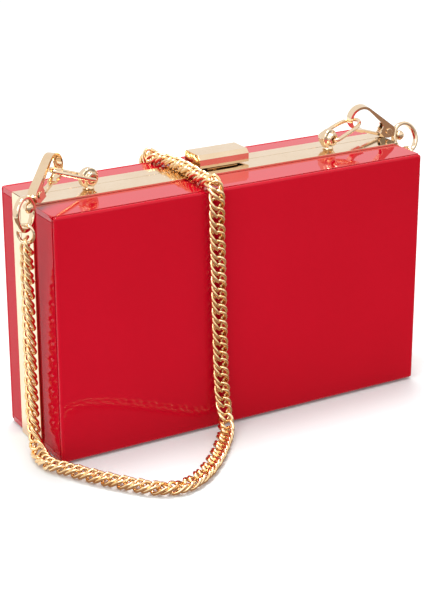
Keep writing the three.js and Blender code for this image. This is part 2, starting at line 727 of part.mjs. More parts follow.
const TIE_X = 44;
const TIE_HALF = 2.5;
const tieOut = STRAP_R + 1.4;
const tieIn = STRAP_R + 2 * GAP;
const tieTop = SECOND_LAYER + tieOut;
const tieLoop = [
  [COIL_NEAR_Y - tieOut, 0],
  [COIL_NEAR_Y + tieOut, 0],
  [COIL_NEAR_Y + tieOut, tieTop],
  [COIL_NEAR_Y - tieOut, tieTop],
];
const tieYs = [COIL_NEAR_Y - tieIn, COIL_NEAR_Y + tieIn];
const tieHole = box([TIE_X - 5, TIE_X + 5], tieYs, [-1, SECOND_LAYER + tieIn]);
const tie = cut(alongX(tieLoop, [TIE_X - TIE_HALF, TIE_X + TIE_HALF]), tieHole);
piece("strap_tie", "tie", tie, strap);

export default purse;
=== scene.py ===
"""Clutch purse: a two-part gloss acrylic box on a polished frame, with a curb chain strap.

Metres, x right, y back, z up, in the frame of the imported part. The sizes below are written in
millimetres, as a maker writes them, and turned into metres where a mesh is built.
"""

from __future__ import annotations

import json
import logging
import math
from dataclasses import dataclass, field
from enum import Enum
from typing import Any, Sequence

import bmesh
import bpy
from mathutils import Matrix, Quaternion, Vector
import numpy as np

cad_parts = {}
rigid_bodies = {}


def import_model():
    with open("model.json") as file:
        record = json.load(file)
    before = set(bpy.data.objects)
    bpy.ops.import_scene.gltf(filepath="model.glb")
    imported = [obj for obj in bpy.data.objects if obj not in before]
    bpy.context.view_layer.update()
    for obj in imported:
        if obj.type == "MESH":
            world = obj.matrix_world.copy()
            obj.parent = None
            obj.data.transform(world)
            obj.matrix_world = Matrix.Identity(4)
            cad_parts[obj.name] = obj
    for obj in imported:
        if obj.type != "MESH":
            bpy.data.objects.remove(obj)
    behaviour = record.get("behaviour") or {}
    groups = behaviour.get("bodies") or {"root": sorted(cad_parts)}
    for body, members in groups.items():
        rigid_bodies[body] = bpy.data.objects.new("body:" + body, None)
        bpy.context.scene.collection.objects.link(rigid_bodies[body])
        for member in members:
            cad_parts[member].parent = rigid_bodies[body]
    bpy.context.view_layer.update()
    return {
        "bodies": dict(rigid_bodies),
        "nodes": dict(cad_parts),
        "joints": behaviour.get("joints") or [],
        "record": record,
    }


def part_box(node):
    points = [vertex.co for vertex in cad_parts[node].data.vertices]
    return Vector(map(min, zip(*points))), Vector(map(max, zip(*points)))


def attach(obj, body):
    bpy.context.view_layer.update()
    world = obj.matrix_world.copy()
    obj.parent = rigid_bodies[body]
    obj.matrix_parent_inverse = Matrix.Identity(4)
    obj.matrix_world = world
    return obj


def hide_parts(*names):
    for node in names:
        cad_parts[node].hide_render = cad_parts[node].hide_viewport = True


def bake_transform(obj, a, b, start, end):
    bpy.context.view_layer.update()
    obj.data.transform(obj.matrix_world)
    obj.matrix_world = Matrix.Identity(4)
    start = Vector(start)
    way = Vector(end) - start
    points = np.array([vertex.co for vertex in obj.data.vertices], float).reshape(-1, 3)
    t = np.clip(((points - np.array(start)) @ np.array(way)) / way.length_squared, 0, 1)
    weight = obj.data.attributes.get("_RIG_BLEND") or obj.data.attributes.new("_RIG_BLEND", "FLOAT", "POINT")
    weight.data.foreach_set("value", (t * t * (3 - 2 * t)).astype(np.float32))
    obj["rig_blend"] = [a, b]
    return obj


log = logging.getLogger("purse")

MM = 0.001
Point = tuple[float, float, float]
Colour = tuple[float, float, float, float]

# The box and its frame.
FRONT_Y = -26.25
BACK_Y = 26.25
FRAME_TOP = 109.3
ACRYLIC_TOP = 108.4
POST_RISE = 4.7
POST_Y = 0.6

# The strap's centre line keeps this far from whatever it lies on.
STRAP_R = 2.3
LAY = STRAP_R + 0.3

# On top of the box the links settle by this much.
SETTLE = 0.3

# The coil's upper turn lies on the lower one, a little clear of it.
HIGH_TURN = LAY + 2 * STRAP_R + 0.3

# No two neighbouring points of a line count as nearer than this.
SHORTEST = 1e-6

# An edge rounded by more than this gets one more facet.
WIDE_EDGE = 1.0


class Slot(Enum):
    """The part's material slots."""

    RED = "red_acrylic"
    GOLD = "gold_metal"
    TIE = "tie"


# ---- node graphs ----


class Value:
    """A number socket that adds Math nodes when it is calculated with."""

    def __init__(self, graph: "Graph", socket: bpy.types.NodeSocket) -> None:
        """Wraps one output socket of a graph."""
        self.graph = graph
        self.socket = socket

    def _math(self, operation: str, first: Any, second: Any) -> "Value":
        """Adds one Math node and returns its output."""
        made = self.graph.node("ShaderNodeMath", {"operation": operation}, {0: first, 1: second})
        return Value(self.graph, made.outputs[0])

    def __add__(self, other: Any) -> "Value":
        """Sum."""
        return self._math("ADD", self, other)

    def __radd__(self, other: Any) -> "Value":
        """Sum with a number on the left."""
        return self._math("ADD", other, self)

    def __sub__(self, other: Any) -> "Value":
        """Difference."""
        return self._math("SUBTRACT", self, other)

    def __rsub__(self, other: Any) -> "Value":
        """A number less this."""
        return self._math("SUBTRACT", other, self)

    def __mul__(self, other: Any) -> "Value":
        """Product."""
        return self._math("MULTIPLY", self, other)

    def modulo(self, other: Any) -> "Value":
        """The rest after dividing."""
        return self._math("MODULO", self, other)

    def largest(self, other: Any) -> "Value":
        """The larger of the two."""
        return self._math("MAXIMUM", self, other)


class Graph:
    """A node tree that is written one node at a time."""

    def __init__(self, tree: bpy.types.NodeTree) -> None:
        """Takes over a tree and empties it."""
        self.tree = tree
        tree.nodes.clear()

    def node(self, kind: str, settings: dict[str, Any] | None = None,
             sockets: dict[Any, Any] | None = None) -> bpy.types.Node:
        """Makes any node.

        Args:
            kind: the node's type.
            settings: its properties, set first.
            sockets: values or links for its inputs, by name or number.

        Returns:
            The new node.
        """
        made = self.tree.nodes.new(kind)
        for name, value in (settings or {}).items():
            setattr(made, name, value)
        for name, value in (sockets or {}).items():
            self.feed(made.inputs[name], value)
        return made

    def feed(self, socket: bpy.types.NodeSocket, value: Any) -> None:
        """Links a socket to a Value, a node's first output or a socket, or sets it to a constant.

        Args:
            socket: the input.
            value: what it gets.
        """
        if isinstance(value, Value):
            value = value.socket
        if isinstance(value, bpy.types.Node):
            value = value.outputs[0]
        if isinstance(value, bpy.types.NodeSocket):
            self.tree.links.new(value, socket)
        else:
            socket.default_value = value


class ShaderGraph(Graph):
    """A material's node tree."""

    def __init__(self, name: str) -> None:
        """Starts an empty material of that name."""
        self.material = bpy.data.materials.new(name)
        self.material.use_nodes = True
        super().__init__(self.material.node_tree)
        self.place = self.node("ShaderNodeTexCoord").outputs["Object"]

    def noise(self, scale: float, detail: float = 3.0, rough: float = 0.5,
              vector: bpy.types.NodeSocket | None = None) -> Value:
        """Cloudy noise from 0 to 1 on the piece's own coordinates.

        Args:
            scale: cells to a metre.
            detail: how many finer layers it has.
            rough: how strong the finer layers are.
            vector: other coordinates to use.

        Returns:
            The noise's value.
        """
        sockets = {"Vector": vector or self.place, "Scale": scale, "Detail": detail, "Roughness": rough}
        return Value(self, self.node("ShaderNodeTexNoise", {}, sockets).outputs[0])

    def span(self, value: Any, low: float, high: float, to_low: float, to_high: float) -> Value:
        """Maps a range of values to another, clamped."""
        sockets = {"Value": value, "From Min": low, "From Max": high, "To Min": to_low, "To Max": to_high}
        return Value(self, self.node("ShaderNodeMapRange", {"clamp": True}, sockets).outputs[0])

    def mix(self, share: Any, first: Any, second: Any) -> bpy.types.NodeSocket:
        """Mixes two colours."""
        made = self.node("ShaderNodeMix", {"data_type": "RGBA"}, {0: share, 6: first, 7: second})
        return made.outputs[2]

    def stretched(self, scale: Point) -> bpy.types.NodeSocket:
        """The piece's coordinates, scaled unevenly."""
        return self.node("ShaderNodeMapping", {}, {"Vector": self.place, "Scale": scale}).outputs[0]

    def bump(self, height: Value, distance: float) -> bpy.types.NodeSocket:
        """Surface relief from a height."""
        sockets = {"Height": height, "Distance": distance, "Strength": 1.0}
        return self.node("ShaderNodeBump", {}, sockets).outputs[0]

    def surface(self, sockets: dict[str, Any]) -> bpy.types.Material:
        """Ends the graph in a Principled shader and returns the material."""
        shader = self.node("ShaderNodeBsdfPrincipled", {}, sockets)
        self.node("ShaderNodeOutputMaterial", {}, {"Surface": shader})
        return self.material


# ---- finishes ----


@dataclass(frozen=True)
class Acrylic:
    """Solid-coloured gloss acrylic sheet with faint handling marks."""

    name: str
    colour: Colour
    shade: Colour
    specular: float = 0.5
    roughness: float = 0.03
    smudge: float = 0.05
    ripple: float = 0.00002

    def material(self) -> bpy.types.Material:
        """Builds the material."""
        graph = ShaderGraph(self.name)
        cloud = graph.noise(9.0, 2.0)
        hand = graph.span(graph.noise(38.0, 5.0, 0.65), 0.5, 0.75, 0.0, 1.0)
        streak = graph.span(graph.noise(1.0, 4.0, 0.6, graph.stretched((900, 900, 60))), 0.62, 0.8, 0, 1)
        rough = self.roughness + hand * self.smudge + streak * (0.4 * self.smudge)
        ripple = graph.noise(22.0, 1.0)
        return graph.surface({
            "Base Color": graph.mix(graph.span(cloud, 0.35, 0.65, 0.0, 1.0), self.colour, self.shade),
            "Roughness": rough,
            "IOR": 1.49,
            "Specular IOR Level": self.specular,
            "Normal": graph.bump(ripple, self.ripple),
        })


@dataclass(frozen=True)
class Plating:
    """Polished yellow metal with a slightly uneven polish and hairline marks."""

    name: str
    colour: Colour
    warm: Colour
    roughness: float = 0.13
    spread: float = 0.08
    grain: float = 0.000004

    def material(self) -> bpy.types.Material:
        """Builds the material."""
        graph = ShaderGraph(self.name)
        cloud = graph.noise(60.0, 3.0)
        fine = graph.noise(700.0, 2.0)
        hair = graph.noise(1.0, 3.0, 0.6, graph.stretched((300, 2600, 2600)))
        share = graph.span(cloud * 0.7 + fine * 0.3, 0.35, 0.65, 0.0, 1.0)
        return graph.surface({
            "Base Color": graph.mix(share, self.colour, self.warm),
            "Metallic": 1.0,
            "Roughness": self.roughness + graph.span(cloud, 0.3, 0.75, 0.0, 1.0) * self.spread,
            "Normal": graph.bump(hair, self.grain),
        })


@dataclass(frozen=True)
class Tape:
    """Soft woven tape."""

    name: str
    colour: Colour
    shade: Colour

    def material(self) -> bpy.types.Material:
        """Builds the material."""
        graph = ShaderGraph(self.name)
        rib_settings = {"bands_direction": "Z"}
        ribs = graph.node("ShaderNodeTexWave", rib_settings, {"Vector": graph.place, "Scale": 420.0})
        weave = Value(graph, ribs.outputs[1]) * 0.6 + graph.noise(1800.0, 2.0) * 0.4
        return graph.surface({
            "Base Color": graph.mix(graph.span(weave, 0.2, 0.8, 0.0, 1.0), self.shade, self.colour),
            "Roughness": 0.85,
            "Normal": graph.bump(weave, 0.0002),
        })


# The red is one acrylic in three copies that differ only for light: the walls' red is painted darker than
# the front panel's to offset the strong top light, and the left and right walls reflect far less, as painted
# shade.
RED = Acrylic("red acrylic", (0.53, 0.003, 0.016, 1), (0.48, 0.002, 0.013, 1))
PANEL_RED_PAINTED_LIGHTER = Acrylic("red acrylic panel painted lighter", (0.56, 0.003, 0.018, 1), (0.51, 0.002, 0.014, 1), 0.22)
SIDE_RED_PAINTED_SHADE = Acrylic("red acrylic side painted shade", RED.colour, RED.shade, 0.06)
GOLD = Plating("polished frame", (0.86, 0.68, 0.48, 1), (0.82, 0.61, 0.40, 1), 0.07, 0.05)
CHAIN_GOLD = Plating("chain plating", (0.98, 0.75, 0.45, 1), (0.88, 0.56, 0.25, 1), 0.09, 0.06)
TIE = Tape("tie tape", (0.85, 0.82, 0.76, 1), (0.62, 0.58, 0.52, 1))


# ---- meshes ----


def new_object(name: str, mesh: bpy.types.Mesh, material: bpy.types.Material) -> bpy.types.Object:
    """Puts a mesh in the scene as an object at the origin, in one material.

    Args:
        name: the object's name.
        mesh: its mesh.
        material: its finish.

    Returns:
        The object.
    """
    mesh.materials.clear()
    mesh.materials.append(material)
    made = bpy.data.objects.new(name, mesh)
    bpy.context.scene.collection.objects.link(made)
    return made


def mesh_of(name: str, points: Sequence[Sequence[float]], faces: Sequence[Sequence[int]],
            matrix: Matrix | None = None) -> bpy.types.Mesh:
    """A smooth mesh from points in millimetres, with its faces turned outwards.

    Args:
        name: the mesh's name.
        points: the corners.
        faces: the corner numbers of each face.
        matrix: a placing of the points, in millimetres.

    Returns:
        The mesh, in metres.
    """
    placed = [(matrix @ Vector(p) if matrix else Vector(p)) * MM for p in points]
    mesh = bpy.data.meshes.new(name)
    mesh.from_pydata(placed, [], [tuple(f) for f in faces])
    work = bmesh.new()
    work.from_mesh(mesh)
    bmesh.ops.recalc_face_normals(work, faces=work.faces)
    work.to_mesh(mesh)
    work.free()
    mesh.polygons.foreach_set("use_smooth", [True] * len(mesh.polygons))
    return mesh


def mark_sharp(mesh: bpy.types.Mesh, angle: float) -> None:
    """Marks the edges that turn by more than an angle, in degrees, as sharp."""
    mesh.set_sharp_from_angle(angle=math.radians(angle))


def lathe(profile: Sequence[tuple[float, float]], steps: int = 48
          ) -> tuple[list[Point], list[list[int]]]:
    """Turns an outline about the z axis.

    Args:
        profile: (radius, z) pairs; a radius of 0 at either end closes in a point.
        steps: how many facets go round.

    Returns:
        The points and faces.
    """
    points: list[Point] = []
    rings: list[list[int]] = []
    for radius, z in profile:
        start = len(points)
        if radius == 0:
            points.append((0.0, 0.0, z))
            rings.append([start] * steps)
            continue
        for i in range(steps):
            angle = 2 * math.pi * i / steps
            points.append((radius * math.cos(angle), radius * math.sin(angle), z))
        rings.append(list(range(start, start + steps)))
    faces = []
    for low, high in zip(rings, rings[1:]):
        for i in range(steps):
            j = (i + 1) % steps
            corners = [low[i], low[j], high[j], high[i]]
            faces.append(list(dict.fromkeys(corners)))
    return points, faces


def closed_lathe(loop: Sequence[tuple[float, float]], steps: int = 64
                 ) -> tuple[list[Point], list[list[int]]]:
    """Turns a closed outline, clear of the axis, about the z axis.

    Args:
        loop: (radius, z) pairs.
        steps: how many facets go round.

    Returns:
        The points and faces.
    """
    points, faces = lathe([*loop, loop[0]], steps)
    last = len(loop) * steps
    wrapped = [[i - last if i >= last else i for i in face] for face in faces]
    return points[:last], wrapped


def rounded_box_outline(half_a: float, half_b: float, radius: float, steps: int = 4
                        ) -> list[tuple[float, float]]:
    """The outline of a rectangle with rounded corners, about the origin.

    Args:
        half_a: half its first side.
        half_b: half its second side.
        radius: the corners' radius.
        steps: how many facets each corner has.

    Returns:
        The outline's points.
    """
    points = []
    for quarter, (sign_a, sign_b) in enumerate([(1, 1), (-1, 1), (-1, -1), (1, -1)]):
        for i in range(steps + 1):
            angle = math.pi / 2 * (quarter + i / steps)
            points.append((sign_a * (half_a - radius) + radius * math.cos(angle),
                           sign_b * (half_b - radius) + radius * math.sin(angle)))
    return points


def swept(path: Sequence[Vector], outline: Sequence[tuple[float, float]], across: Sequence[Vector],
          closed: bool = False) -> tuple[list[Vector], list[list[int]]]:
    """Carries an outline along a path.

    Args:
        path: the points of the centre line.
        outline: (sideways, outward) places round the section.
        across: the sideways direction at each point.
        closed: whether the path comes back to its start.

    Returns:
        The points and faces, with flat ends on an open path.
    """
    count = len(path)
    size = len(outline)
    points = []
    for i, centre in enumerate(path):
        after = path[(i + 1) % count] if closed or i + 1 < count else path[i]
        before = path[i - 1] if closed or i > 0 else path[i]
        tangent = (after - before).normalized()
        side = (across[i] - tangent * across[i].dot(tangent)).normalized()
        outward = tangent.cross(side)
        points += [centre + side * a + outward * b for a, b in outline]
    faces = []
    for i in range(count if closed else count - 1):
        j = (i + 1) % count
        for k in range(size):
            m = (k + 1) % size
            faces.append([i * size + k, i * size + m, j * size + m, j * size + k])
    if not closed:
        faces.append(list(range(size)))
        faces.append([(count - 1) * size + k for k in range(size)])
    return points, faces


def spline(points: Sequence[Vector], steps: int) -> tuple[list[Vector], list[float]]:
    """A smooth curve through points, as the strap lies in the part's structure.

    Args:
        points: what the curve goes through.
        steps: how many pieces lie between two points.

    Returns:
        The curve's points, and how far each is along, counted in given points.
    """
    ends = [points[0] * 2 - points[1], *points, points[-1] * 2 - points[-2]]
    line: list[Vector] = []
    places: list[float] = []
    for i in range(len(points) - 1):
        p = ends[i:i + 4]
        knots = [0.0]
        for a, b in zip(p, p[1:]):
            knots.append(knots[-1] + max((b - a).length, SHORTEST) ** 0.5)
        for k in range(steps):
            t = knots[1] + (knots[2] - knots[1]) * k / steps
            line.append(_between_knots(p, knots, t))
            places.append(i + k / steps)
    line.append(points[-1].copy())
    places.append(float(len(points) - 1))
    return line, places


def _part_way(first: Vector, second: Vector, share: float) -> Vector:
    """A point between two others, or beyond them where the share isn't from 0 to 1.

    Args:
        first: the point at share 0.
        second: the point at share 1.
        share: how far along it lies.

    Returns:
        The point.
    """
    if 0 <= share <= 1:
        return first.lerp(second, share)
    return first * (1 - share) + second * share


def _between_knots(points: Sequence[Vector], knots: Sequence[float], t: float) -> Vector:
    """One point of a four-point spline piece with uneven knots.

    Args:
        points: the four points.
        knots: the curve's value at each of them.
        t: the value that the point is wanted for.

    Returns:
        The point.
    """
    spans = [[(0, 1), (1, 2), (2, 3)], [(0, 2), (1, 3)], [(1, 2)]]
    level = list(points)
    for row in spans:
        shares = [(t - knots[low]) / (knots[high] - knots[low]) for low, high in row]
        level = [_part_way(level[i], level[i + 1], share) for i, share in enumerate(shares)]
    return level[0]


# ---- the camera, the light and the floor ----


@dataclass(frozen=True)
class Lamp:
    """A square soft lamp, in millimetres and watts."""

    name: str
    place: Point
    size: float
    power: float


@dataclass
class Studio:
    """A white room: the camera, soft light from all round, and a pale floor."""

    camera_place: Point = (-357.03, -608.08, 316.63)
    target: Point = (-2.711, 0.0, 48.62)
    roll: float = -0.088
    lens: float = 101.91
    sensor: float = 36.0
    nearest: float = 0.01
    farthest: float = 50.0
    backdrop: float = 1.02
    sky: float = 0.66
    dark_side: float = 0.3
    bright_side: float = 1.25
    front_fade: tuple[float, float] = (-0.15, -0.5)
    low_fade: tuple[float, float] = (0.35, 0.15)
    lamps: tuple[Lamp, ...] = (
        Lamp("key_light", (-900, -500, 1300), 900, 8.5),
        Lamp("top_light", (100, 260, 1500), 500, 16.0),
    )
    floor_size: float = 6000.0
    floor_drop: float = 0.1
    floor_glow: float = 0.08
    floor_colour: Colour = (0.935, 0.965, 0.965, 1.0)
    # The colour of the painted reflection that the glowing card gives the metal and acrylic.
    painted_reflection_colour: Colour = (0.38, 0.25, 0.19, 1.0)

    def build(self) -> None:
        """Makes the camera, the world, the lamps and the floor."""
        self.camera()
        self.world()
        for lamp in self.lamps:
            self.hang(lamp)
        self.floor()
        self.brown_card()

    def camera(self) -> None:
        """Makes the scene's camera."""
        data = bpy.data.cameras.new("camera")
        data.sensor_width = self.sensor
        data.lens = self.lens
        data.clip_start = self.nearest
        data.clip_end = self.farthest
        made = bpy.data.objects.new("camera", data)
        bpy.context.scene.collection.objects.link(made)
        look = Vector(self.target) - Vector(self.camera_place)
        turn = look.to_track_quat("-Z", "Y") @ Quaternion((0, 0, 1), math.radians(self.roll))
        made.rotation_mode = "QUATERNION"
        made.rotation_quaternion = turn
        made.location = Vector(self.camera_place) * MM
        bpy.context.scene.camera = made

    def world(self) -> None:
        """A white room: white to the camera, and reflected as white with a dark side in front."""
        made = bpy.data.worlds.new("studio")
        made.use_nodes = True
        bpy.context.scene.world = made
        graph = Graph(made.node_tree)
        path = graph.node("ShaderNodeLightPath")
        camera = Value(graph, path.outputs["Is Camera Ray"])
        mirror = Value(graph, path.outputs["Is Glossy Ray"])
        mirror = mirror.largest(Value(graph, path.outputs["Is Transmission Ray"]))
        way = graph.node("ShaderNodeTexCoord").outputs["Generated"]
        parts = graph.node("ShaderNodeSeparateXYZ", {}, {"Vector": way})
        toward_front = self.fade(graph, parts.outputs["Y"], *self.front_fade)
        low_down = self.fade(graph, parts.outputs["Z"], *self.low_fade)
        lower = low_down * (1.0 - self.dark_side)
        upper = (1.0 - low_down) * (self.bright_side - 1.0)
        mirrored = 1.0 + toward_front * (upper - lower)
        strength = self.sky + camera * (self.backdrop - self.sky) + mirror * (mirrored - self.sky)
        light = graph.node("ShaderNodeBackground", {}, {"Color": (1, 1, 1, 1), "Strength": strength})
        graph.node("ShaderNodeOutputWorld", {}, {"Surface": light})

    def fade(self, graph: Graph, value: Any, start: float, end: float) -> Value:
        """A soft step from 0 at start to 1 at end."""
        made = graph.node("ShaderNodeMapRange", {"interpolation_type": "SMOOTHSTEP"},
                          {"Value": value, "From Min": start, "From Max": end})
        return Value(graph, made.outputs[0])

    def brown_card(self) -> None:
        """A brown card on the floor in front that glows and shows only in reflections: a painted dark
        reflection in the metal and acrylic.
        """
        near, far, half = -29.0, -900.0, 700.0
        corners = [(-half, far, 0), (half, far, 0), (half, near, 0), (-half, near, 0)]
        graph = ShaderGraph("painted reflection card")
        glow = graph.node("ShaderNodeEmission", {}, {"Color": self.painted_reflection_colour, "Strength": 1.0})
        graph.node("ShaderNodeOutputMaterial", {}, {"Surface": glow})
        card = new_object("brown_card", mesh_of("brown_card", corners, [(0, 1, 2, 3)]), graph.material)
        card.visible_camera = False
        card.visible_diffuse = False
        card.visible_shadow = False
        card.visible_transmission = False

    def hang(self, lamp: Lamp) -> None:
        """Hangs a lamp so that it faces the purse.

        Args:
            lamp: the lamp.
        """
        data = bpy.data.lights.new(lamp.name, "AREA")
        data.shape = "SQUARE"
        data.size = lamp.size * MM
        data.energy = lamp.power
        made = bpy.data.objects.new(lamp.name, data)
        bpy.context.scene.collection.objects.link(made)
        place = Vector(lamp.place)
        made.location = place * MM
        made.rotation_mode = "QUATERNION"
        made.rotation_quaternion = (Vector(self.target) - place).to_track_quat("-Z", "Y")

    def floor(self) -> None:
        """A pale floor that shows white and keeps the shadow."""
        half = self.floor_size / 2
        low = -self.floor_drop
        corners = [(-half, -half, low), (half, -half, low), (half, half, low), (-half, half, low)]
        graph = ShaderGraph("floor")
        path = graph.node("ShaderNodeLightPath")
        seen = Value(graph, path.outputs["Is Camera Ray"])
        for ray in ("Is Glossy Ray", "Is Transmission Ray"):
            seen = seen.largest(Value(graph, path.outputs[ray]))
        paint = graph.node("ShaderNodeBsdfDiffuse", {}, {"Color": self.floor_colour})
        lift = graph.node("ShaderNodeEmission", {}, {"Color": (1, 1, 1, 1), "Strength": 1.0})
        both = graph.node("ShaderNodeMixShader", {}, {0: seen * self.floor_glow, 1: paint, 2: lift})
        graph.node("ShaderNodeOutputMaterial", {}, {"Surface": both})
        mesh = mesh_of("floor", corners, [(0, 1, 2, 3)])
        new_object("floor", mesh, graph.material)


# ---- the side hardware: where it lies ----


@dataclass
class Side:
    """One end's ring post, D-ring, snap hook and eye, as they lie."""

    name: str
    post_x: float
    post_turn: float
    toward: float
    ring_lift: float
    slide: float
    hook_axis: Point
    hook_across: Point
    seat: tuple[float, float]
    eye_turn: float
    reach: float = 21.0
    ring_half: float = 5.3
    eye_r: float = 7.5
    eye_wall: float = 1.7
    link_r: float = 3.8
    link_wire: float = 0.75
    link_seat: float = 4.5
    strap_gap: float = 0.6
    frames: dict[str, Matrix] = field(default_factory=dict)
    strap_top: Vector = field(default_factory=Vector)

    def __post_init__(self) -> None:
        """Works out each piece's own axes from the post outwards."""
        up = Vector((0, 0, 1))
        turn = math.radians(self.post_turn)
        bore = Vector((math.sin(turn), math.cos(turn), 0))
        out = bore.cross(up)
        centre = Vector((self.post_x, POST_Y, FRAME_TOP + POST_RISE))
        self.frames["post"] = axes(centre, out, bore, up)
        lift = math.radians(self.ring_lift)
        reach = out * (self.toward * math.cos(lift)) + up * math.sin(lift)
        self.frames["ring"] = axes(centre, reach, bore, reach.cross(bore))
        drawn = self.ring_half - math.sqrt(self.ring_half**2 - self.slide**2)
        seat = centre + reach * (self.reach - drawn) + bore * self.slide
        axis = Vector(self.hook_axis).normalized()
        across = Vector(self.hook_across)
        across = (across - axis * across.dot(axis)).normalized()
        gate_side = across.cross(axis)
        swivel = seat - axis * self.seat[0] - gate_side * self.seat[1]
        self.frames["hook"] = axes(swivel, gate_side, across, axis)
        eye = swivel + axis * (self.eye_wall / 2 - self.eye_r)
        eye_across = Quaternion(axis, math.radians(self.eye_turn)) @ across
        self.frames["eye"] = axes(eye, eye_across.cross(axis), eye_across, axis)
        down = -up + eye_across * eye_across.dot(up)
        wire = eye + down.normalized() * self.link_seat
        hang = (up - down.normalized()).normalized()
        normal = eye_across.cross(hang).normalized()
        middle = wire - hang * self.link_r
        self.frames["link"] = axes(middle, normal.cross(hang), normal, hang)
        self.strap_top = wire - hang * (2 * self.link_r + self.link_wire + self.strap_gap)


def axes(origin: Vector, x: Vector, y: Vector, z: Vector) -> Matrix:
    """The placing that takes the plain axes to these."""
    columns = [x, y, z, origin]
    return Matrix([[c[row] for c in columns] for row in range(3)] + [[0, 0, 0, 1]])


# ---- the chain strap ----


@dataclass
class Stretch:
    """One stretch of the strap: its piece, its points and the way its flat face looks."""

    piece: str
    face: Point
    points: list[Point]


def coil_turn(centre_x: float, start: float, end: float, z: float, count: int) -> list[Point]:
    """Points round one end of the oval coil.

    Args:
        centre_x: the middle of that end.
        start: the first point's angle in degrees.
        end: the last point's angle in degrees.
        z: the height.
        count: how many steps.

    Returns:
        The points.
    """
    radius = 20.0
    middle_y = 87.0
    points = []
    for i in range(count + 1):
        angle = math.radians(start + (end - start) * i / count)
        points.append((centre_x + radius * math.cos(angle), middle_y + radius * math.sin(angle), z))
    return points


def strap_route(left: Side, right: Side) -> list[Stretch]:
    """The whole strap, from the left eye round to the right eye.

    Args:
        left: the end where it starts.
        right: the end where it stops.

    Returns:
        Its stretches, in order.
    """
    low = LAY
    high = HIGH_TURN
    face = LAY
    run = FRONT_Y - face
    back = BACK_Y + face
    lid = ACRYLIC_TOP + face - SETTLE
    rail = FRAME_TOP + face - SETTLE
    to_left, to_right = (-1.0, 0.0, 0.0), (1.0, 0.0, 0.0)
    up, front, rear = (0.0, 0.0, 1.0), (0.0, -1.0, 0.0), (0.0, 1.0, 0.0)
    return [
        Stretch("left_top", to_left, [tuple(left.strap_top)]),
        Stretch("left_upper", to_left, [(-96.6, -12.6, 76.3)]),
        Stretch("left_lower", to_left, [(-95.8, -10.3, 50.3)]),
        Stretch("front", to_left, [(-95.2, -9, 15.6), (-95.2, -9.6, 10.5)]),
        Stretch("front", (-0.9, 0.0, 0.4), [(-95.3, -11.2, 6)]),
        Stretch("front", (-0.4, 0.0, 0.9), [(-95.8, -15.5, low + 0.5)]),
        Stretch("front", up, [
            (-96.4, -21.5, low), (-95.6, -27.5, low), (-92.6, -33, low), (-84, -47.7, low),
            (-75, -60.3, low),
            (-67.5, -68.5, low), (-58.5, -71.8, low), (-48, -68, low), (-36.5, -59, low),
            (-24.5, -46, low)]),
        Stretch("front", (0.0, -0.3, 0.95), [(-17, -36.5, low + 1.6)]),
        Stretch("front", front, [
            (-14.8, run - 2.4, 9), (-15.2, run - 0.9, 20), (-15.8, run - 0.5, 40),
            (-16.6, run - 0.5, 70), (-17.4, run - 0.5, 98), (-17.5, run - 0.6, ACRYLIC_TOP - 2.5)]),
        Stretch("front", (0.0, -0.7, 0.7), [(-17.4, run + 0.8, ACRYLIC_TOP + 2)]),
        Stretch("top", up, [
            (-17.2, FRONT_Y + 1.6, lid + 0.9), (-16.6, -14, lid + 0.6), (-16, 1.8, rail),
            (-16.4, 13, rail - 0.2), (-17.4, 21, lid + 0.1)]),
        Stretch("back", (0.0, 0.2, 0.98), [(-18, 25.4, lid - 0.1)]),
        Stretch("back", (0.0, 0.7, 0.7), [(-18.4, back - 0.1, ACRYLIC_TOP + 1.2)]),
        Stretch("back", rear, [
            (-18.6, back + 1.1, ACRYLIC_TOP - 3), (-18.8, back + 1.1, 92), (-18.9, back + 1, 60.1),
            (-19, back + 0.8, 20), (-18.8, back + 3, 9)]),
        Stretch("back", (0.0, 0.3, 0.95), [(-18.4, back + 8, low + 0.8)]),
        Stretch("coil", up, [
            (-18, 44, low), (-14, 56, low), (-4, 64.5, low), (8, 67, low),
            *coil_turn(70, -90, 90, low, 6), *coil_turn(15, 90, 180, low, 3),
            *coil_turn(15, 216, 270, high, 2), (40, 67, high), (66, 67, high), (80, 61, low + 0.6),
            (96, 52, low), (103.2, 39, low)]),
        Stretch("coil", (0.7, 0.0, 0.7), [(103.2, 25, low + 0.8)]),
        Stretch("coil", to_right, [(102.3, 17, 5.5)]),
        Stretch("right_lower", to_right, [(101.5, 12, 12.5), (101.5, 7, 32)]),
        Stretch("right_upper", to_right, [(101.5, 7, 47.6)]),
        Stretch("right_top", to_right, [(101.5, 7, 73.6), tuple(right.strap_top)]),
    ]


@dataclass
class Strand:
    """A run of links that is one piece: its path and faces in millimetres, and its link count."""

    path: list[Vector]
    faces: list[Vector]
    links: int
    length: float


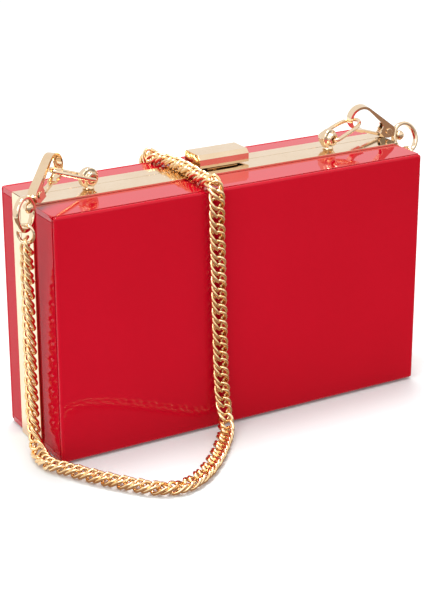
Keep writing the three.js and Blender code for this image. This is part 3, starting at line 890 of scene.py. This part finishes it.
@dataclass
class ChainStrap:
    """A flat double curb chain, made link by link along its route."""

    left: Side
    right: Side
    pitch: float = 3.6
    link_half_width: float = 3.0
    link_half_length: float = 3.8
    pair_shift: float = 0.35
    pair_tilt: float = 10.0
    twist: float = -50.0
    squareness: float = 0.6
    wire: float = 0.76
    wire_wide: float = 0.8
    steps_round: int = 22
    steps_wire: int = 8
    steps_route: int = 14
    width: float = 7.6
    strands: dict[str, Strand] = field(default_factory=dict)
    pieces: dict[str, bpy.types.Object] = field(default_factory=dict)

    def build(self) -> None:
        """Makes every piece of the strap and rides it."""
        self.measure()
        link = self.link()
        material = CHAIN_GOLD.material()
        tree = self.tree()
        for name, strand in self.strands.items():
            self.pieces[name] = self.strand_object(name, strand, link, tree, material)
            log.info("strap piece %s: %d links, %.0f mm", name, strand.links, strand.length)
        bpy.data.objects.remove(link)
        self.tie()
        self.ride()
        self.declare()

    def measure(self) -> None:
        """Cuts the route into strands of a whole number of links."""
        route = strap_route(self.left, self.right)
        points = [Vector(p) for stretch in route for p in stretch.points]
        looks = [Vector(stretch.face) for stretch in route for _ in stretch.points]
        owners = [stretch.piece for stretch in route for _ in stretch.points]
        line, places = spline(points, self.steps_route)
        travelled = [0.0]
        for a, b in zip(line, line[1:]):
            travelled.append(travelled[-1] + (b - a).length)
        total = int(travelled[-1] / self.pitch)
        at: dict[str, list[tuple[Vector, Vector]]] = {}
        k = 0
        for i in range(total + 1):
            s = i * travelled[-1] / total
            while k < len(line) - 2 and travelled[k + 1] < s:
                k += 1
            share = (s - travelled[k]) / max(travelled[k + 1] - travelled[k], SHORTEST)
            centre = line[k].lerp(line[k + 1], share)
            place = places[k] + (places[k + 1] - places[k]) * share
            knot = min(int(place), len(points) - 2)
            look = looks[knot].lerp(looks[knot + 1], place - knot).normalized()
            at.setdefault(owners[knot], []).append((centre, look))
        for name, found in at.items():
            path = [centre for centre, _ in found]
            length = sum((b - a).length for a, b in zip(path, path[1:]))
            self.strands[name] = Strand(path, [look for _, look in found], len(found), length)

    def link(self) -> bpy.types.Object:
        """One twisted curb link: x across the strap, y out of its face, z along it."""
        path = []
        for i in range(self.steps_round):
            t = 2 * math.pi * i / self.steps_round
            turn = math.radians(self.twist) * math.sin(t)
            reach = self.link_half_width * math.copysign(abs(math.cos(t)) ** self.squareness, math.cos(t))
            path.append(Vector((reach * math.cos(turn), reach * math.sin(turn),
                                self.link_half_length * math.sin(t))))
        ring = []
        for i in range(self.steps_wire):
            angle = 2 * math.pi * i / self.steps_wire
            ring.append((self.wire * math.cos(angle), self.wire_wide * math.sin(angle)))
        middle = sum(path, Vector()) / len(path)
        outward = [(p - middle).normalized() for p in path]
        points, faces = swept(path, ring, outward, closed=True)
        plain = bpy.data.materials.new("link pattern")
        return new_object("link_pattern", mesh_of("link_pattern", points, faces), plain)

    def tree(self) -> bpy.types.NodeTree:
        """The node tree that sets links along a path, every second one nearer its neighbour and turned."""
        tree = bpy.data.node_groups.new("links along path", "GeometryNodeTree")
        for name, kind in [("Path", "NodeSocketGeometry"), ("Link", "NodeSocketObject"),
                           ("Count", "NodeSocketInt"), ("Finish", "NodeSocketMaterial")]:
            tree.interface.new_socket(name, in_out="INPUT", socket_type=kind)
        tree.interface.new_socket("Links", in_out="OUTPUT", socket_type="NodeSocketGeometry")
        graph = Graph(tree)
        given = graph.node("NodeGroupInput").outputs
        curve = graph.node("GeometryNodeMeshToCurve", {}, {"Mesh": given["Path"]})
        even = graph.node("GeometryNodeResampleCurve", {}, {"Curve": curve, "Count": given["Count"]})
        look = graph.node("GeometryNodeInputNamedAttribute", {"data_type": "FLOAT_VECTOR"}, {"Name": "face"})
        along = graph.node("GeometryNodeInputTangent")
        turn = graph.node("FunctionNodeAxesToRotation", {"primary_axis": "Z", "secondary_axis": "Y"},
                          {"Primary Axis": along, "Secondary Axis": look})
        odd = Value(graph, graph.node("GeometryNodeInputIndex").outputs[0]).modulo(2.0)
        push = graph.node("ShaderNodeVectorMath", {"operation": "SCALE"},
                          {0: along, "Scale": odd * (self.pair_shift * MM)})
        paired = graph.node("GeometryNodeSetPosition", {}, {"Geometry": even, "Offset": push})
        tilt = (odd - 0.5) * math.radians(self.pair_tilt)
        about = graph.node("ShaderNodeCombineXYZ", {}, {"Z": tilt})
        lean = graph.node("FunctionNodeEulerToRotation", {}, {0: about})
        tilted = graph.node("FunctionNodeRotateRotation", {"rotation_space": "LOCAL"},
                            {"Rotation": turn, "Rotate By": lean})
        pattern = graph.node("GeometryNodeObjectInfo", {}, {"Object": given["Link"]})
        placed = graph.node("GeometryNodeInstanceOnPoints", {}, {
            "Points": paired, "Instance": pattern.outputs["Geometry"], "Rotation": tilted})
        real = graph.node("GeometryNodeRealizeInstances", {}, {"Geometry": placed})
        done = graph.node("GeometryNodeSetMaterial", {}, {"Geometry": real, "Material": given["Finish"]})
        graph.node("NodeGroupOutput", {}, {"Links": done})
        return tree

    def strand_object(self, name: str, strand: Strand, link: bpy.types.Object,
                      tree: bpy.types.NodeTree, material: bpy.types.Material) -> bpy.types.Object:
        """Turns a strand into a mesh of links.

        Args:
            name: the strap piece's short name.
            strand: its path.
            link: the link to repeat.
            tree: the node tree that places it.
            material: its finish.

        Returns:
            The finished piece.
        """
        guide = bpy.data.meshes.new("guide")
        edges = [(i, i + 1) for i in range(len(strand.path) - 1)]
        guide.from_pydata([p * MM for p in strand.path], edges, [])
        looks = guide.attributes.new("face", "FLOAT_VECTOR", "POINT")
        looks.data.foreach_set("vector", [c for look in strand.faces for c in look])
        holder = bpy.data.objects.new("guide", guide)
        bpy.context.scene.collection.objects.link(holder)
        modifier = holder.modifiers.new("links", "NODES")
        modifier.node_group = tree
        values = {"Link": link, "Count": strand.links, "Finish": material}
        for item in tree.interface.items_tree:
            if item.in_out == "INPUT" and item.name in values:
                modifier[item.identifier] = values[item.name]
        bpy.context.view_layer.update()
        graph = bpy.context.evaluated_depsgraph_get()
        mesh = bpy.data.meshes.new_from_object(holder.evaluated_get(graph), depsgraph=graph)
        bpy.data.objects.remove(holder)
        for attribute in [a.name for a in mesh.attributes if a.name == "face"]:
            mesh.attributes.remove(mesh.attributes[attribute])
        mesh.polygons.foreach_set("use_smooth", [True] * len(mesh.polygons))
        return new_object(f"chain_{name}", mesh, material)

    def tie(self) -> None:
        """The soft tie that holds the coil's two turns together."""
        x, y = 44.0, 67.0
        half_y, corner, clear = 4.6, 1.6, 0.3
        half_width, half_thick, edge = 2.5, 0.35, 0.3
        top = HIGH_TURN + STRAP_R + 1.0
        half_z = top / 2 + clear
        outline = rounded_box_outline(half_y, half_z - clear, corner, 6)
        loop = [Vector((x, y + a, half_z + b)) for a, b in outline]
        section = rounded_box_outline(half_width, half_thick, edge, 2)
        points, faces = swept(loop, section, [Vector((1, 0, 0))] * len(loop), closed=True)
        self.pieces["tie"] = new_object("coil_tie", mesh_of("coil_tie", points, faces), TIE.material())

    def ride(self) -> None:
        """Joins each piece to the bodies that carry it."""
        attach(self.pieces["front"], "front_half")
        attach(self.pieces["coil"], "front_half")
        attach(self.pieces["tie"], "front_half")
        self.join("top", "front_half", "back_half", (0, FRONT_Y, ACRYLIC_TOP), (0, BACK_Y, ACRYLIC_TOP))
        self.join("back", "back_half", "front_half", (0, 0, 92), (0, 0, 6))
        for end in (self.left.name, self.right.name):
            self.join(f"{end}_top", f"eye_{end}", f"hook_{end}", (0, 0, 93), (0, 0, 85))
            self.join(f"{end}_upper", f"hook_{end}", f"ring_{end}", (0, 0, 74), (0, 0, 52))
            self.join(f"{end}_lower", f"ring_{end}", "front_half", (0, 0, 47), (0, 0, 18))
        stands_for = {"top": "back_upper", "back": "back_lower"}
        for name, piece in self.pieces.items():
            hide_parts(f"strap_{stands_for.get(name, name)}")

    def join(self, piece: str, before: str, after: str, start: Point, end: Point) -> None:
        """Lets a piece turn smoothly from one body to the next."""
        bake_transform(self.pieces[piece], before, after, start=Vector(start) * MM, end=Vector(end) * MM)

    def declare(self) -> None:
        on = {
            "front": ["left_top", "left_upper", "left_lower"],
            "top": [],
            "back": [],
            "coil": ["tie", "right_lower", "right_upper", "right_top"],
        }
        for name, short in on.items():
            strand = self.strands[name]
            path = [p * MM for p in strand.path]
            self.width * MM


# ---- pieces that keep the structure's own shape ----


@dataclass
class Refined:
    """A piece that keeps its CAD shape and gets clean, softened edges."""

    node: str
    body: str
    slot: Slot
    bevel: float
    sharp: float = 32.0
    weld: float = 0.000004
    flat: float = 0.6

    def build(self, frame: dict[str, Any], material: bpy.types.Material) -> bpy.types.Object:
        """Makes the piece from a merged copy of its node.

        Args:
            frame: the loaded part.
            material: its finish.

        Returns:
            The finished piece.
        """
        work = bmesh.new()
        work.from_mesh(frame["nodes"][self.node].data)
        bmesh.ops.remove_doubles(work, verts=work.verts, dist=self.weld)
        flat = math.radians(self.flat)
        bmesh.ops.dissolve_limit(work, angle_limit=flat, verts=work.verts, edges=work.edges)
        mesh = bpy.data.meshes.new(f"{self.node}_piece")
        work.to_mesh(mesh)
        work.free()
        for name in [a.name for a in mesh.attributes if a.name == "custom_normal"]:
            mesh.attributes.remove(mesh.attributes[name])
        mesh.polygons.foreach_set("use_smooth", [True] * len(mesh.polygons))
        mark_sharp(mesh, self.sharp)
        made = new_object(f"{self.node}_piece", mesh, material)
        soften(made, self.bevel, self.sharp)
        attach(made, self.body)
        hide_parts(self.node)
        return made


@dataclass
class Sheet:
    """One acrylic sheet, cemented to its neighbours with a hairline joint."""

    node: str
    body: str
    edge: float
    cement: float = 0.27
    sharp: float = 30.0

    def build(self, material: bpy.types.Material) -> bpy.types.Object:
        """Makes the sheet a hair larger than its node where it is cemented to another.

        Args:
            material: its finish.

        Returns:
            The finished sheet.
        """
        low, high = (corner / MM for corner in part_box(self.node))
        if "_wall_" in self.node:
            if self.node.startswith("front"):
                low.y -= self.cement
            else:
                high.y += self.cement
            if self.node.endswith(("left", "right")):
                low.z -= self.cement
                high.z += self.cement
        points = [(x, y, z) for x in (low.x, high.x) for y in (low.y, high.y) for z in (low.z, high.z)]
        faces = [(0, 1, 3, 2), (4, 6, 7, 5), (0, 4, 5, 1), (2, 3, 7, 6), (0, 2, 6, 4), (1, 5, 7, 3)]
        mesh = mesh_of(f"{self.node}_sheet", points, faces)
        mark_sharp(mesh, self.sharp)
        made = new_object(f"{self.node}_sheet", mesh, material)
        soften(made, self.edge, self.sharp)
        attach(made, self.body)
        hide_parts(self.node)
        return made


def soften(piece: bpy.types.Object, width: float, angle: float) -> None:
    """Rounds a piece's hard edges.

    Args:
        piece: the piece.
        width: the rounding, in millimetres.
        angle: edges that turn by more than this many degrees are rounded.
    """
    bevel = piece.modifiers.new("edges", "BEVEL")
    bevel.width = width * MM
    bevel.segments = 3 if width > WIDE_EDGE else 2
    bevel.limit_method = "ANGLE"
    bevel.angle_limit = math.radians(angle)
    bevel.harden_normals = True
    bevel.use_clamp_overlap = True


@dataclass
class Box:
    """The two halves: acrylic sheets, frame rails, hinges and latch."""

    frame: dict[str, Any]
    panel_edge: float = 1.4
    sheet_edge: float = 0.2
    rail_edge: float = 0.12
    small_edge: float = 0.15
    latch_edge: float = 0.25

    def build(self) -> None:
        """Makes every piece of the box."""
        red = RED.material()
        panel_red_painted_lighter = PANEL_RED_PAINTED_LIGHTER.material()
        side_red_painted_shade = SIDE_RED_PAINTED_SHADE.material()
        gold = GOLD.material()
        for body, nodes in self.frame["record"]["behaviour"]["bodies"].items():
            for node in nodes:
                # The front panel takes the red painted lighter, and the left and right walls take the red
                # with painted shade.
                if node.endswith("_panel"):
                    Sheet(node, body, self.panel_edge).build(panel_red_painted_lighter)
                elif node.endswith(("_wall_left", "_wall_right")):
                    Sheet(node, body, self.sheet_edge).build(side_red_painted_shade)
                elif "_wall_" in node:
                    Sheet(node, body, self.sheet_edge).build(red)
                elif "_rail_" in node:
                    Refined(node, body, Slot.GOLD, self.rail_edge).build(self.frame, gold)
                elif node.startswith(("hinge_", "latch_")):
                    edge = self.latch_edge if node == "latch_bar" else self.small_edge
                    Refined(node, body, Slot.GOLD, edge).build(self.frame, gold)
                else:
                    continue
                log.info("box piece %s on %s", node, body)


@dataclass
class Hardware:
    """One end's ring post, D-ring, snap hook, gate, swivel and eye."""

    frame: dict[str, Any]
    side: Side
    wire: float = 0.9
    wire_sides: int = 12
    hook_edge: float = 0.42
    gate_edge: float = 0.25
    post_sharp: float = 52.0
    stud_sharp: float = 50.0
    gold: bpy.types.Material | None = None

    def build(self) -> None:
        """Makes every piece of this end."""
        self.gold = GOLD.material()
        end = self.side.name
        self.post()
        self.ring()
        self.eye()
        self.end_link()
        self.stud()
        for node, body in [(f"hook_body_{end}", f"hook_{end}"), (f"gate_rivet_{end}", f"hook_{end}"),
                           (f"gate_bar_{end}", f"gate_{end}")]:
            edge = self.hook_edge if node.startswith("hook") else self.gate_edge
            Refined(node, body, Slot.GOLD, edge).build(self.frame, self.gold)
        log.info("hardware %s", end)

    def finish(self, part: str, body: str, placing: Matrix, points: Sequence[Sequence[float]],
               faces: Sequence[Sequence[int]], sharp: float | None = None) -> None:
        """Makes a piece from its points, on its body, in place of its node.

        Args:
            part: the node's name without its end.
            body: the body that carries it.
            placing: where its own axes lie, in millimetres.
            points: the corners.
            faces: the corner numbers of each face.
            sharp: edges that turn by more than this many degrees stay sharp.
        """
        node = f"{part}_{self.side.name}"
        mesh = mesh_of(f"{node}_piece", points, faces, placing)
        if sharp is not None:
            mark_sharp(mesh, sharp)
        made = new_object(f"{node}_piece", mesh, self.gold)
        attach(made, body)
        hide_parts(node)

    def post(self) -> None:
        """A round post with a stepped boss for the ring, on a short foot."""
        along_bore = Matrix.Rotation(math.radians(-90), 4, "X")
        half = [(0, 1.6), (1.6, 1.6), (1.6, 3.2), (1.8, 3.5), (2.45, 3.5), (2.7, 3.4), (2.8, 3.1),
                (2.8, 1.7), (3.0, 1.5), (3.9, 1.5), (4.15, 1.4), (4.3, 1.15), (4.3, 0.4)]
        points, faces = lathe([*half, *((radius, -along) for radius, along in reversed(half))])
        placed = [along_bore @ Vector(p) for p in points]
        foot, foot_faces = lathe([(0, 0.2), (2.4, 0.2), (2.5, 0.5), (2.0, 1.2), (1.9, 2.0), (0, 2.0)], 32)
        start = len(placed)
        placed += [Vector(p) - Vector((0, 0, POST_RISE)) for p in foot]
        faces = faces + [[i + start for i in face] for face in foot_faces]
        self.finish("ring_post", "front_half", self.side.frames["post"], placed, faces, self.post_sharp)

    def ring(self) -> None:
        """The D-ring: one bent wire whose ends turn in the post."""
        half, reach = self.side.ring_half, self.side.reach
        arm = [(2.5, 0.0), (4.3, 0.0), (half - 0.2, 0.5), (half, 1.8), (half, 6.0),
               (half - 0.1, reach - 8), (half - 1.3, reach - 3.2), (half - 3.3, reach - 0.7)]
        back = [Vector((x, y, 0)) for y, x in arm]
        front = [Vector((x, -y, 0)) for y, x in reversed(arm)]
        line, _ = spline([*back, Vector((reach, 0, 0)), *front], 8)
        section = circle(self.wire, self.wire_sides)
        points, faces = swept(line, section, [Vector((0, 0, 1))] * len(line))
        self.finish("d_ring", f"ring_{self.side.name}", self.side.frames["ring"], points, faces)

    def eye(self) -> None:
        """The round eye: a flat band with rounded edges."""
        wall, outer = self.side.eye_wall, self.side.eye_r
        band = rounded_box_outline(wall / 2, 1.3, 0.6)
        loop = [(outer - wall / 2 + a, b) for a, b in band]
        points, faces = closed_lathe(loop)
        upright = self.side.frames["eye"] @ Matrix.Rotation(math.radians(90), 4, "X")
        self.finish("strap_eye", f"eye_{self.side.name}", upright, points, faces)

    def end_link(self) -> None:
        """The small round link between the eye and the strap."""
        loop = [(self.side.link_r + a, b) for a, b in circle(self.side.link_wire, self.wire_sides)]
        points, faces = closed_lathe(loop, 48)
        upright = self.side.frames["link"] @ Matrix.Rotation(math.radians(90), 4, "X")
        self.finish("end_link", f"eye_{self.side.name}", upright, points, faces)

    def stud(self) -> None:
        """The swivel stud: a round head inside the eye and a neck into the hook."""
        ball_z, ball_r, neck, neck_top = -3.2, 2.3, 0.95, 2.2
        steps = 12
        first = math.asin(neck / ball_r)
        profile = [(0.0, ball_z - ball_r)]
        for i in range(1, steps + 1):
            angle = math.pi - (i / steps) * (math.pi - first)
            profile.append((ball_r * math.sin(angle), ball_z + ball_r * math.cos(angle)))
        profile += [(neck, neck_top), (0.0, neck_top)]
        points, faces = lathe(profile, 24)
        hook = f"hook_{self.side.name}"
        self.finish("swivel_stud", hook, self.side.frames["hook"], points, faces, self.stud_sharp)


def circle(radius: float, sides: int) -> list[tuple[float, float]]:
    """Points round a circle."""
    turns = [2 * math.pi * i / sides for i in range(sides)]
    return [(radius * math.cos(t), radius * math.sin(t)) for t in turns]


def main() -> None:
    """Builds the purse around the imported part."""
    logging.basicConfig(level=logging.INFO)
    bpy.ops.wm.read_factory_settings(use_empty=True)
    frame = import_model()
    bpy.context.scene.view_settings.view_transform = "Standard"
    Studio().build()
    left = Side(
        "left", post_x=-61.6, post_turn=-10, toward=-1, ring_lift=20, slide=-1.2,
        hook_axis=(0.707, 0.533, 0.466), hook_across=(-0.62, 0.78, -0.05), seat=(18.9, 0.1), eye_turn=0)
    right = Side(
        "right", post_x=57.8, post_turn=-18, toward=1, ring_lift=12.5, slide=-1.1,
        hook_axis=(-0.888, 0.05, 0.448), hook_across=(-0.1, -0.98, -0.12), seat=(21.2, 1.3), eye_turn=30)
    ChainStrap(left, right).build()
    Box(frame).build()
    for side in (left, right):
        Hardware(frame, side).build()


if __name__ == "__main__":
    main()
